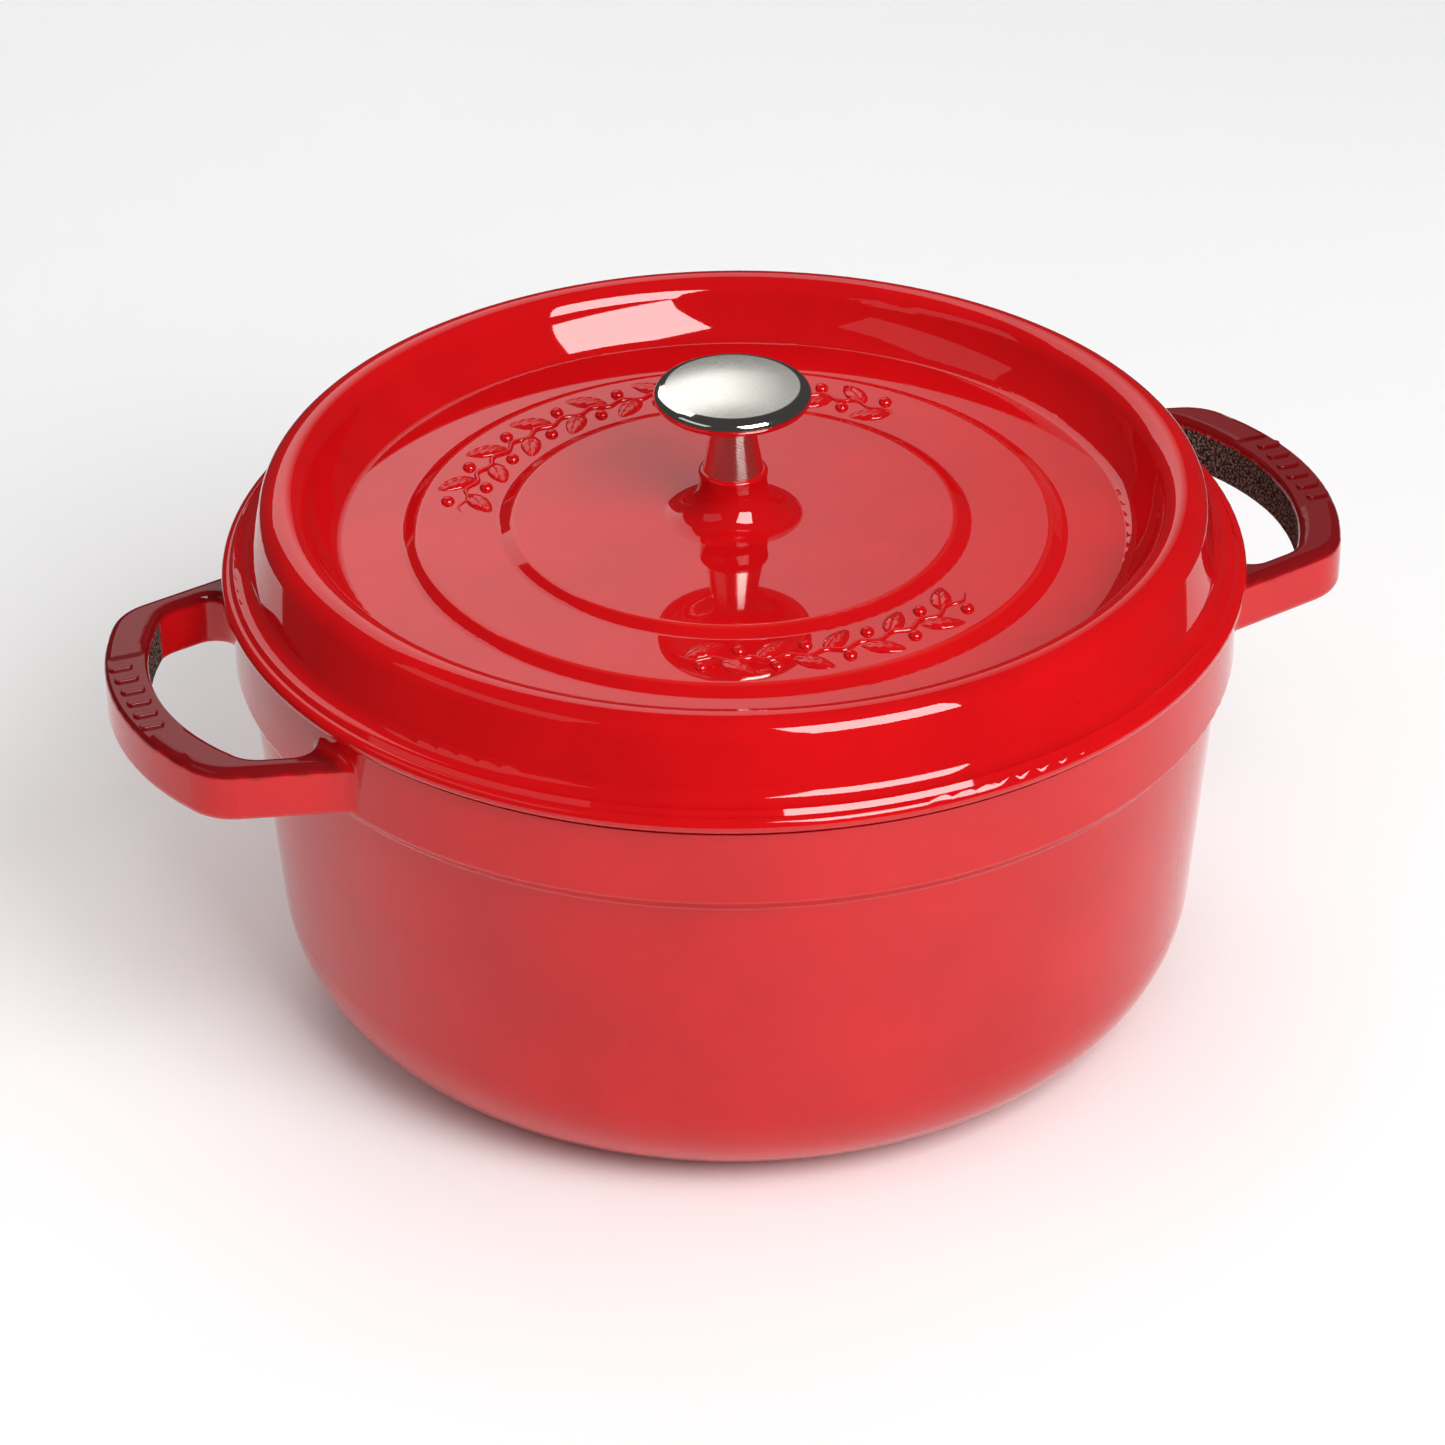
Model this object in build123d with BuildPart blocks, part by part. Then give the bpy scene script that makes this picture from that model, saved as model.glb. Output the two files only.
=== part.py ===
from build123d import *
from math import atan2, cos, hypot, pi, radians, sin, sqrt, tan
import os

# Round enamelled cast iron dutch oven: a pot with two loop handles and a loose lid.
# Millimetres and degrees. The origin is the centre of the resting face, +Z is up, and
# the handles stand along +X and -X. The lid lifts straight up.

# --- driving dimensions: pot -------------------------------------------------------------
pot_height = 120.0             # resting face to the enamelled rim that carries the lid
rim_radius = 130.6             # outside of the thick collar below the rim
collar_height = 20.0           # rim down to the lower edge of the collar
collar_step = 3.6              # how far the collar stands out from the wall below it
collar_slope = 4.0             # height over which the collar runs back into the wall
collar_edge_round = 2.0
rim_edge_round = 1.4
wall_lean = 4.8                # degrees that the wall leans outwards
wall_thickness = 3.4           # iron only, without the inner coat
floor_thickness = 4.0
corner_radius = 33.0           # outside corner between wall and base
coat = 0.4                     # black enamel on all inner surfaces
base_groove_inset = 58.6       # collar's outside in to the middle of the groove
base_groove_width = 2.0
base_groove_depth = 0.6

# --- driving dimensions: loop handles ----------------------------------------------------
handle_length = 36.2           # collar's outside out to the outside of the grip
handle_drop = 4.4              # rim down to the top of the handle
handle_height = 15.3
arm_spread = 51.7              # half the outside width of the loop where it leaves the collar
arm_lean = 14.7                # degrees that each arm leans inwards, seen from above
arm_width = 6.6
grip_width = 11.2
grip_bow = 4.8                 # how far the middle of the grip bows out over bow_half_width
bow_half_width = 27.0
handle_corner = 15.5
handle_inner_corner = 9.0
handle_edge_round = 2.7
handle_root_flare = 6.0
handle_root_sink = 0.35        # how far the loop's plan stays inside the collar's face
handle_root_round = 2.4        # along the top of the loop, where it meets the collar
arm_start = 0.7                # where the arms' plan starts, as a share of the collar's radius
panel_length = 40.0
panel_depth = 0.7
rib_length = 6.4
rib_width = 2.6
rib_count = 6
rib_pitch = 6.0
rib_edge_round = 0.4

# --- driving dimensions: lid -------------------------------------------------------------
flange_overhang = 2.4          # flange's edge beyond the collar's outside
flange_lip = 4.2
flange_root = 5.4              # height of the flange's top where it meets the raised ring
neck_round = 4.5               # hollow round between the flange and the raised ring
crown_height = 24.6            # top of the raised ring, above the underside of the flange
crest_inset = 14.3             # collar's outside in to the crest of the raised ring
crest_round = 6.5
crest_inner_angle = 68.0       # degrees that the crest's round turns down to the dish
wall_draft = 15.0              # degrees that the ring's outer wall leans
dish_inset = 27.5              # collar's outside in to the foot of the ring's inner slope
dish_foot_round = 4.0
dish_height = 10.1             # floor of the dish, above the underside of the flange
outer_step_inset = 48.4        # collar's outside in to the top edge of the outer step
outer_step_height = 12.3
inner_step_inset = 73.2        # collar's outside in to the top edge of the inner step
inner_step_height = 14.1
step_run = 3.6
step_round = 3.0
lid_thickness = 3.4            # iron only, without the coat underneath
seat_height = 0.8              # how far the seat stands below the underside of the flange
rim_land = 2.0                 # rim outside the lid's seat
register_clearance = 1.2
register_width = 4.0
register_depth = 5.2           # how far the lid's locating ring drops inside the rim
boss_top_radius = 9.0
boss_foot_radius = 18.0
boss_height = 13.5             # above the middle of the lid
boss_edge_round = 1.0
boss_waist = (0.16, 0.34)      # middle of the boss's flank, as shares of its spread and height
slope_waist = (0.58, 0.46)     # middle of the ring's inner slope, as shares of its run and rise

# --- driving dimensions: knob, screw and washer ------------------------------------------
knob_radius = 20.3
knob_height = 26.1
knob_rim = 5.2                 # thickness of the knob's disc at its edge
knob_dome = 2.5
stem_foot_radius = 7.9
stem_neck_radius = 5.5
stem_share = 0.8               # height of the stem, as a share of the height to the disc
screw_radius = 3.0
screw_depth = 12.0             # length of thread inside the knob
screw_head_radius = 5.4
screw_head_height = 3.3
screw_socket = 2.0
washer_radius = 7.0
washer_thickness = 1.2
hole_clearance = 0.3
thread_clearance = 0.05

# --- driving dimensions: basting spikes under the lid -------------------------------------
spike_ring_pitch = 15.0
spike_spacing = 14.0
spike_height = 3.4
spike_radius = 2.8
spike_tip_radius = 1.0

# --- derived sizes -----------------------------------------------------------------------
lean = radians(wall_lean)
draft = radians(wall_draft)
handle_reach = rim_radius + handle_length
base_groove_radius = rim_radius - base_groove_inset
flange_radius = rim_radius + flange_overhang
crest_radius = rim_radius - crest_inset
dish_radius = rim_radius - dish_inset
outer_step_radius = rim_radius - outer_step_inset
inner_step_radius = rim_radius - inner_step_inset
spike_ring_count = int((dish_radius - washer_radius - spike_radius) // spike_ring_pitch)
wall_top = pot_height - collar_height - collar_slope
wall_top_radius = rim_radius - collar_step
handle_top = pot_height - handle_drop
handle_bottom = handle_top - handle_height
flange_base = pot_height + seat_height
boss_top = flange_base + inner_step_height + boss_height
# the raised ring: its hollow inner slope, its crest, and its wall down to the neck
inner_angle = radians(crest_inner_angle)
slope_top = (
    crest_radius - crest_round * sin(inner_angle),
    crown_height - crest_round * (1 - cos(inner_angle)),
)
slope_angle = atan2(slope_top[1] - dish_height, slope_top[0] - dish_radius)
slope_middle = (
    dish_radius + slope_waist[0] * (slope_top[0] - dish_radius),
    dish_height + slope_waist[1] * (slope_top[1] - dish_height),
)
wall_head = (
    crest_radius + crest_round * cos(draft),
    crown_height - crest_round * (1 - sin(draft)),
)
neck_height = flange_root + neck_round * (1 - sin(draft))
neck_radius = wall_head[0] + tan(draft) * (wall_head[1] - neck_height)


def bowl(side, floor, top):
    """Half section of the bowl: flat floor, round corner and leaning wall.

    side is the distance inwards from the outside of the wall, floor and top are heights.
    """
    radius = corner_radius - side
    wall_radius = wall_top_radius - side / cos(lean)
    rise = wall_top - floor - radius
    centre = wall_radius - tan(lean) * rise - radius / cos(lean)
    foot = (centre + radius * cos(lean), floor + radius - radius * sin(lean))
    top_radius = wall_radius + tan(lean) * (top - wall_top)
    with BuildSketch(Plane.XZ) as section:
        with BuildLine():
            Line((0, floor), (centre, floor))
            JernArc((centre, floor), (1, 0), radius, 90 - wall_lean)
            Line(foot, (top_radius, top))
            Line((top_radius, top), (0, top))
            Line((0, top), (0, floor))
        make_face()
    return section.sketch


def inner_radius(height):
    """Radius of the coated inside of the wall at a height above the round corner."""
    outside = wall_top_radius + tan(lean) * (height - wall_top)
    return outside - (wall_thickness + coat) / cos(lean)


def loop_plan():
    """Plan of one loop handle on the +X side, flared where it meets the collar."""
    turn = radians(arm_lean)
    bow_radius = (bow_half_width**2 + grip_bow**2) / (2 * grip_bow)
    start = arm_start * rim_radius
    root = sqrt(rim_radius**2 - arm_spread**2)
    beyond = handle_reach + grip_width
    plan_radius = rim_radius - handle_root_sink
    with BuildSketch(Plane.XY.offset(handle_bottom)) as plan:
        outer = [(x, arm_spread - tan(turn) * (x - root)) for x in (start, beyond)]
        Polygon(*outer, *[(x, -y) for x, y in reversed(outer)], align=None)
        with Locations((handle_reach - bow_radius, 0)):
            Circle(bow_radius, mode=Mode.INTERSECT)
        fillet(plan.vertices().group_by(Axis.X)[-1], handle_corner)
        gap_spread = arm_spread - arm_width / cos(turn)
        inner = [(x, gap_spread - tan(turn) * (x - root)) for x in (start, handle_reach)]
        with BuildSketch(mode=Mode.SUBTRACT) as gap:
            Polygon(*inner, *[(x, -y) for x, y in reversed(inner)], align=None)
            with Locations((handle_reach - bow_radius, 0)):
                Circle(bow_radius - grip_width, mode=Mode.INTERSECT)
            fillet(gap.vertices().group_by(Axis.X)[-1], handle_inner_corner)
        Circle(plan_radius)
        roots = plan.vertices().filter_by(lambda v: abs(hypot(v.X, v.Y) - plan_radius) < 0.01)
        fillet(roots.filter_by(lambda v: v.X > 0 and abs(v.Y) > gap_spread / 2), handle_root_flare)
    return plan.sketch


def on_collar_at_handle_top(edge):
    """Whether an edge runs where the top of a loop meets the face of the collar."""
    points = [edge.position_at(share) for share in (0, 0.5, 1)]
    level = all(abs(point.Z - handle_top) < 0.01 for point in points)
    return level and all(abs(hypot(point.X, point.Y) - rim_radius) < 0.01 for point in points)


# --- raised ribs along the top of a grip ----------------------------------------------------
with BuildPart() as ribs:
    with BuildSketch(Plane.XY.offset(handle_top - 2 * panel_depth)):
        with Locations((handle_reach - grip_width / 2, 0)):
            with GridLocations(0, rib_pitch, 1, rib_count):
                SlotOverall(rib_length, rib_width)
    extrude(amount=2 * panel_depth)
    fillet(ribs.edges().group_by(Axis.Z)[-1], rib_edge_round)

# --- one loop handle, on the +X side -------------------------------------------------------
with BuildPart() as loop:
    add(loop_plan())
    extrude(amount=handle_height)
    fillet(loop.faces().filter_by(Axis.Z).edges(), handle_edge_round)
    with BuildSketch(Plane.XY.offset(handle_top)):
        with Locations((handle_reach - grip_width / 2, 0)):
            Rectangle(2 * grip_width, panel_length)
    extrude(amount=-panel_depth, mode=Mode.SUBTRACT)
    add(ribs.part)

# --- pot casting: bowl, collar and both loops, cast in one ---------------------------------
with BuildPart() as pot_casting:
    with BuildSketch(Plane.XZ) as collar_section:
        with BuildLine():
            Polyline(
                (0, wall_top - collar_slope),
                (wall_top_radius - tan(lean) * collar_slope, wall_top - collar_slope),
                (wall_top_radius, wall_top),
                (rim_radius, pot_height - collar_height),
                (rim_radius, pot_height - coat),
                (0, pot_height - coat),
                close=True,
            )
        make_face()
        corners = collar_section.vertices().filter_by(lambda v: v.X > wall_top_radius - 0.01)
        corners = corners.sort_by(Axis.Y)
        fillet(corners[0:2], collar_edge_round)
        fillet(corners[2], rim_edge_round)
        add(bowl(0, 0, wall_top - collar_slope))
    revolve(axis=Axis.Z)
    add(loop.part)
    add(mirror(loop.part, about=Plane.YZ, mode=Mode.PRIVATE))
    fillet(pot_casting.edges().filter_by(on_collar_at_handle_top), handle_root_round)
    add(bowl(wall_thickness, floor_thickness, pot_height))
    revolve(axis=Axis.Z, mode=Mode.SUBTRACT)
    with BuildSketch(Plane.XY):
        Circle(base_groove_radius + base_groove_width / 2)
        Circle(base_groove_radius - base_groove_width / 2, mode=Mode.SUBTRACT)
    extrude(amount=base_groove_depth, mode=Mode.SUBTRACT)

pot_casting.part.label = "pot_casting"

# --- pot lining: the black enamel coat on the inside and over the rim ----------------------
with BuildPart() as pot_lining:
    add(bowl(wall_thickness, floor_thickness, pot_height - coat))
    revolve(axis=Axis.Z)
    with BuildSketch(Plane.XY.offset(pot_height - coat)):
        Circle(rim_radius - rim_edge_round)
    extrude(amount=coat)
    add(bowl(wall_thickness + coat, floor_thickness + coat, pot_height))
    revolve(axis=Axis.Z, mode=Mode.SUBTRACT)

pot_lining.part.label = "pot_lining"


def lid_underside(back):
    """Half section of the space under the lid, from the axis out to the edge of the seat.

    back is how far every face is moved into the iron: nothing for the finished coat, the
    coat's thickness for the bare iron.
    """
    thickness = lid_thickness + coat - back
    seat = pot_height + back
    register_outer = inner_radius(pot_height) - register_clearance - back
    register_inner = register_outer - register_width + 2 * back
    register_foot = pot_height - register_depth + back
    hollow_top = (wall_head[0] - thickness * cos(draft), wall_head[1] - thickness * sin(draft))
    hollow_foot = hollow_top[0] + tan(draft) * (hollow_top[1] - dish_height)
    with BuildSketch(Plane.XZ) as section:
        with BuildLine():
            inner = Line(
                (0, flange_base + inner_step_height - thickness),
                (inner_step_radius, flange_base + inner_step_height - thickness),
            )
            floor = Line(
                (outer_step_radius, flange_base + outer_step_height - thickness),
                (dish_radius + thickness * tan(slope_angle / 2), flange_base + dish_height - thickness),
            )
            Line(inner @ 1, floor @ 0)
            crown = ThreePointArc(
                floor @ 1,
                (
                    slope_middle[0] + thickness * sin(slope_angle),
                    flange_base + slope_middle[1] - thickness * cos(slope_angle),
                ),
                (
                    slope_top[0] + thickness * sin(inner_angle),
                    flange_base + slope_top[1] - thickness * cos(inner_angle),
                ),
            )
            Polyline(
                crown @ 1,
                (hollow_top[0], flange_base + hollow_top[1]),
                (hollow_foot, flange_base + dish_height),
                (register_inner, pot_height),
                (register_inner, register_foot),
                (register_outer, register_foot),
                (register_outer, seat),
                (rim_radius - rim_land, seat),
                (rim_radius - rim_land, pot_height - 2 * register_depth),
                (0, pot_height - 2 * register_depth),
                inner @ 0,
            )
        make_face()
    return section.sketch


# --- lid casting: dished disc, raised ring, flange and the boss for the knob ---------------
with BuildPart() as lid_casting:
    with BuildSketch(Plane.XZ.shift_origin((0, 0, flange_base))) as lid_section:
        with BuildLine():
            boss_level = inner_step_height + boss_height
            boss = Line((0, boss_level), (boss_top_radius - boss_edge_round, boss_level))
            boss_edge = TangentArc(
                boss @ 1,
                (boss_top_radius, boss_level - boss_edge_round),
                tangent=(1, 0),
            )
            waist = (
                boss_top_radius + boss_waist[0] * (boss_foot_radius - boss_top_radius),
                inner_step_height + boss_waist[1] * boss_height,
            )
            flare = ThreePointArc(boss_edge @ 1, waist, (boss_foot_radius, inner_step_height))
            dish = Polyline(
                flare @ 1,
                (inner_step_radius, inner_step_height),
                (inner_step_radius + step_run, outer_step_height),
                (outer_step_radius, outer_step_height),
                (outer_step_radius + step_run, dish_height),
                (dish_radius, dish_height),
            )
            slope = ThreePointArc(dish @ 1, slope_middle, slope_top)
            crest = ThreePointArc(slope @ 1, (crest_radius, crown_height), wall_head)
            wall = Line(crest @ 1, (neck_radius, neck_height))
            neck = TangentArc(
                wall @ 1,
                (neck_radius + neck_round * cos(draft), flange_root),
                tangent=wall % 1,
            )
            lip = Line(neck @ 1, (flange_radius - flange_lip / 2, flange_lip))
            edge = ThreePointArc(
                lip @ 1,
                (flange_radius, flange_lip / 2),
                (flange_radius - flange_lip / 3, 0),
            )
            Polyline(edge @ 1, (0, 0), boss @ 0)
        make_face()
        step_corners = lid_section.vertices().filter_by(
            lambda v: inner_step_radius - 0.01 < v.X < outer_step_radius + step_run + 0.01
        )
        fillet(step_corners, step_round)
        dish_foot = lid_section.vertices().filter_by(lambda v: abs(v.X - dish_radius) < 0.01)
        fillet(dish_foot, dish_foot_round)
    revolve(axis=Axis.Z)
    with BuildSketch(Plane.XY.offset(flange_base)):
        Circle(rim_radius - rim_land)
    extrude(amount=-register_depth - seat_height)
    add(lid_underside(coat))
    revolve(axis=Axis.Z, mode=Mode.SUBTRACT)
    with BuildSketch(Plane.XY.offset(boss_top)):
        Circle(screw_radius + hole_clearance)
    extrude(amount=-boss_height - lid_thickness - coat, mode=Mode.SUBTRACT)

lid_casting.part.label = "lid_casting"

# --- lid lining: the black coat underneath, with the basting spikes ------------------------
underside = flange_base + inner_step_height - lid_thickness - coat


def underside_height(radius):
    """Height of the coated underside of the lid, inside the raised ring."""
    corners = [
        (inner_step_radius, inner_step_height),
        (outer_step_radius, outer_step_height),
        (dish_radius, dish_height),
    ]
    drop = 0
    for (near, high), (far, low) in zip(corners, corners[1:]):
        share = (radius - near) / (far - near)
        drop += max(0, min(1, share)) * (high - low)
    return underside - drop


with BuildPart() as lid_lining:
    for ring in range(spike_ring_count):
        ring_radius = spike_ring_pitch * (ring + 1) + washer_radius
        count = round(2 * pi * ring_radius / spike_spacing)
        with Locations((0, 0, underside_height(ring_radius) + coat)):
            with PolarLocations(ring_radius, count):
                Cone(
                    spike_radius,
                    spike_tip_radius,
                    spike_height + coat,
                    rotation=(180, 0, 0),
                    align=(Align.CENTER, Align.CENTER, Align.MIN),
                )
    # the spikes' roots end at the iron, which isn't level everywhere
    add(lid_underside(coat))
    revolve(axis=Axis.Z, mode=Mode.INTERSECT)
    with BuildSketch(Plane.XZ):
        add(lid_underside(coat))
        add(lid_underside(0), mode=Mode.SUBTRACT)
    revolve(axis=Axis.Z)
    Hole(screw_radius + hole_clearance)

lid_lining.part.label = "lid_lining"

# --- knob: domed disc on a waisted stem, tapped from below ---------------------------------
rim_low = knob_height - knob_dome - knob_rim
with BuildPart() as knob:
    with BuildSketch(Plane.XZ.shift_origin((0, 0, boss_top))) as knob_section:
        with BuildLine():
            stem = ThreePointArc(
                (stem_foot_radius, 0),
                (stem_neck_radius + 0.3 * (stem_foot_radius - stem_neck_radius), 0.5 * rim_low),
                (stem_neck_radius, stem_share * rim_low),
            )
            under = ThreePointArc(
                stem @ 1,
                (stem_neck_radius + 0.3 * (knob_radius - stem_neck_radius), 0.97 * rim_low),
                (knob_radius - 0.3 * knob_rim, rim_low + 0.1 * knob_rim),
            )
            rim = ThreePointArc(
                under @ 1,
                (knob_radius, rim_low + 0.5 * knob_rim),
                (knob_radius - 0.3 * knob_rim, rim_low + 0.9 * knob_rim),
            )
            TangentArc((0, knob_height), rim @ 1, tangent=(1, 0))
            Polyline((0, knob_height), (0, 0), stem @ 0)
        make_face()
    revolve(axis=Axis.Z)
    with BuildSketch(Plane.XY.offset(boss_top)):
        Circle(screw_radius + thread_clearance)
    extrude(amount=screw_depth + 1, mode=Mode.SUBTRACT)

knob.part.label = "knob"

# --- washer and screw that hold the knob from under the lid --------------------------------
with BuildPart() as knob_washer:
    with BuildSketch(Plane.XY.offset(underside)):
        Circle(washer_radius)
        Circle(screw_radius + hole_clearance, mode=Mode.SUBTRACT)
    extrude(amount=-washer_thickness)

knob_washer.part.label = "knob_washer"

head_top = underside - washer_thickness
with BuildPart() as knob_screw:
    with BuildSketch(Plane.XY.offset(head_top)):
        Circle(screw_head_radius)
    extrude(amount=-screw_head_height)
    fillet(knob_screw.faces().sort_by(Axis.Z)[0].edges(), screw_head_height / 2)
    with BuildSketch(Plane.XY.offset(head_top - screw_head_height)):
        RegularPolygon(screw_socket, 6)
    extrude(amount=screw_head_height / 2, mode=Mode.SUBTRACT)
    with BuildSketch(Plane.XY.offset(head_top)):
        Circle(screw_radius)
    extrude(amount=boss_top + screw_depth - head_top)
    chamfer(knob_screw.faces().sort_by(Axis.Z)[-1].edges(), screw_radius / 5)

knob_screw.part.label = "knob_screw"

# --- write one file per piece --------------------------------------------------------------
os.makedirs("parts", exist_ok=True)
pieces = [pot_casting, pot_lining, lid_casting, lid_lining, knob, knob_washer, knob_screw]
for piece in pieces:
    export_step(piece.part, f"parts/{piece.part.label}.step")
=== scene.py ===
"""Looks of the enamelled cast iron dutch oven: its finishes, the lid's garland, studio and camera.

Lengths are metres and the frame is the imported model's own: origin at the centre of the
resting face, +X through the handles, +Z up.
"""

import logging
import math
from dataclasses import dataclass
from enum import Enum

import bpy
import numpy as np
from mathutils import Matrix, Vector


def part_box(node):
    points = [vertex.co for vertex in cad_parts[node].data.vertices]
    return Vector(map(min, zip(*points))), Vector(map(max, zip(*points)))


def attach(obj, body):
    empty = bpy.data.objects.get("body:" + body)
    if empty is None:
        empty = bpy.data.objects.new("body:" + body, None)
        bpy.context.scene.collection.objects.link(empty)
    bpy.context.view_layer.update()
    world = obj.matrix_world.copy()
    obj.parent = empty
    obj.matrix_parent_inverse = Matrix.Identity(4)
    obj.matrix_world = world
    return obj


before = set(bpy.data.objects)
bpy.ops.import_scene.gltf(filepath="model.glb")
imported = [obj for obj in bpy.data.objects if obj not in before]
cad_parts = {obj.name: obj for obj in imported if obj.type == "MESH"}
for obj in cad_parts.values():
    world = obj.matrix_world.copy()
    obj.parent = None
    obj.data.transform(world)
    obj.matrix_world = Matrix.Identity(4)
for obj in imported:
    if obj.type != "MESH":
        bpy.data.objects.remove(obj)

LOG = logging.getLogger("dutch_oven")
BLACK = (0.0, 0.0, 0.0, 1.0)
WHITE = (1.0, 1.0, 1.0, 1.0)

Colour = tuple[float, float, float]
Shape = tuple[np.ndarray, np.ndarray]


def opaque(colour: Colour) -> tuple[float, float, float, float]:
    """Add a full alpha to a colour."""
    return (*colour, 1.0)


@dataclass(frozen=True)
class Grain:
    """One scale of unevenness in a surface.

    Size is that of its lumps and height their relief, in metres. Detail and rough say how
    much finer noise is added. Spots run from the noise's low value to its high one.
    """

    size: float
    height: float = 0.0
    detail: float = 2.0
    rough: float = 0.5
    low: float = 0.3
    high: float = 0.7


class ShaderSheet:
    """A material's node tree, with short methods that add nodes and join them."""

    def __init__(self, name: str) -> None:
        """Start a material with a Principled surface.

        Args:
            name: The material's name.
        """
        self.material = bpy.data.materials.new(name)
        self.material.use_nodes = True
        self.tree = self.material.node_tree
        self.surface = self.tree.nodes["Principled BSDF"]

    def put(self, socket: bpy.types.NodeSocket, value: object) -> None:
        """Join a socket to another one, or set its own value.

        Args:
            socket: The input to fill.
            value: The socket to join it to, or its value.
        """
        if isinstance(value, bpy.types.NodeSocket):
            self.tree.links.new(value, socket)
        else:
            socket.default_value = value

    def add(self, kind: str, inputs: dict | None = None, **settings: object) -> bpy.types.Node:
        """Add a node.

        Args:
            kind: Blender's node type.
            inputs: Values or sockets for the node's inputs, by name or number.
            settings: The node's own properties.

        Returns:
            The new node.
        """
        node = self.tree.nodes.new(kind)
        for key, value in settings.items():
            setattr(node, key, value)
        for key, value in (inputs or {}).items():
            self.put(node.inputs[key], value)
        return node

    def sum(self, operation: str, *values: object) -> bpy.types.NodeSocket:
        """Return the result of a Math node."""
        return self.add("ShaderNodeMath", dict(enumerate(values)), operation=operation).outputs[0]

    def place(self) -> bpy.types.NodeSocket:
        """Return the surface point in the model's frame, in metres."""
        return self.add("ShaderNodeTexCoord").outputs["Object"]

    def axes(self, place: bpy.types.NodeSocket) -> dict[str, bpy.types.NodeSocket]:
        """Split a point into its parts.

        Args:
            place: The point.

        Returns:
            Its x, y and z, and its distance r from the upright axis.
        """
        split = self.add("ShaderNodeSeparateXYZ", {0: place})
        square = self.sum("POWER", split.outputs["X"], 2.0)
        square = self.sum("MULTIPLY_ADD", split.outputs["Y"], split.outputs["Y"], square)
        return {
            "x": split.outputs["X"],
            "y": split.outputs["Y"],
            "z": split.outputs["Z"],
            "r": self.sum("SQRT", square),
        }

    def noise(self, place: bpy.types.NodeSocket, grain: Grain) -> bpy.types.NodeSocket:
        """Add noise with the lumps of a grain.

        Args:
            place: The point on the surface.
            grain: The lumps' size and detail.

        Returns:
            The noise, from 0 to 1.
        """
        inputs = {
            "Vector": place,
            "Scale": 1.0 / grain.size,
            "Detail": grain.detail,
            "Roughness": grain.rough,
        }
        return self.add("ShaderNodeTexNoise", inputs).outputs["Fac"]

    def rise(self, place: bpy.types.NodeSocket, grain: Grain) -> bpy.types.NodeSocket:
        """Return a grain's height at a place, in metres."""
        return self.sum("MULTIPLY", self.noise(place, grain), grain.height)

    def spots(
        self, place: bpy.types.NodeSocket, grain: Grain, start: float = 0.0, end: float = 1.0
    ) -> bpy.types.NodeSocket:
        """Return a value that drifts from start to end over the grain's spots."""
        return self.ease(self.noise(place, grain), grain.low, grain.high, start, end)

    def ease(
        self, value: object, low: float, high: float, start: float = 0.0, end: float = 1.0
    ) -> bpy.types.NodeSocket:
        """Add a smooth step.

        Args:
            value: The value that it follows.
            low: Where the step starts.
            high: Where it ends.
            start: The result up to low.
            end: The result from high on.

        Returns:
            The result.
        """
        inputs = {"Value": value, "From Min": low, "From Max": high, "To Min": start, "To Max": end}
        node = self.add("ShaderNodeMapRange", inputs, interpolation_type="SMOOTHSTEP")
        return node.outputs["Result"]

    def band(self, value: object, middle: float, half_width: float) -> bpy.types.NodeSocket:
        """Return 1 where value is at middle, falling smoothly to 0 at half_width away."""
        away = self.sum("ABSOLUTE", self.sum("SUBTRACT", value, middle))
        return self.ease(away, 0.0, half_width, 1.0, 0.0)

    def blend(self, share: object, first: object, second: object) -> bpy.types.NodeSocket:
        """Mix two colours.

        Args:
            share: How much of the second, from 0 to 1.
            first: A colour.
            second: A colour.

        Returns:
            The mixed colour.
        """
        inputs = {0: share, 6: first, 7: second}
        return self.add("ShaderNodeMix", inputs, data_type="RGBA").outputs[2]

    def relief(self, height: bpy.types.NodeSocket) -> None:
        """Bump the surface by a height in metres."""
        bump = self.add("ShaderNodeBump", {"Height": height, "Distance": 1.0, "Strength": 1.0})
        self.put(self.surface.inputs["Normal"], bump.outputs["Normal"])

    def set(self, **values: object) -> None:
        """Set the Principled surface's inputs, with underscores for the spaces in their names."""
        for key, value in values.items():
            self.put(self.surface.inputs[key.replace("_", " ")], value)


@dataclass(frozen=True)
class Coat:
    """What all red enamel starts from: its sheet, the place on it, its colour and relief."""

    sheet: ShaderSheet
    place: bpy.types.NodeSocket
    colour: bpy.types.NodeSocket
    height: bpy.types.NodeSocket


@dataclass(frozen=True)
class HandleZone:
    """Where the faces of the loop handles are, in metres.

    Top is their height, collar the radius they start from, and the inner reach and width
    are how far out and how wide the inner face of a grip is.
    """

    top: float
    collar: float
    inner_reach: float
    inner_width: float


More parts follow.
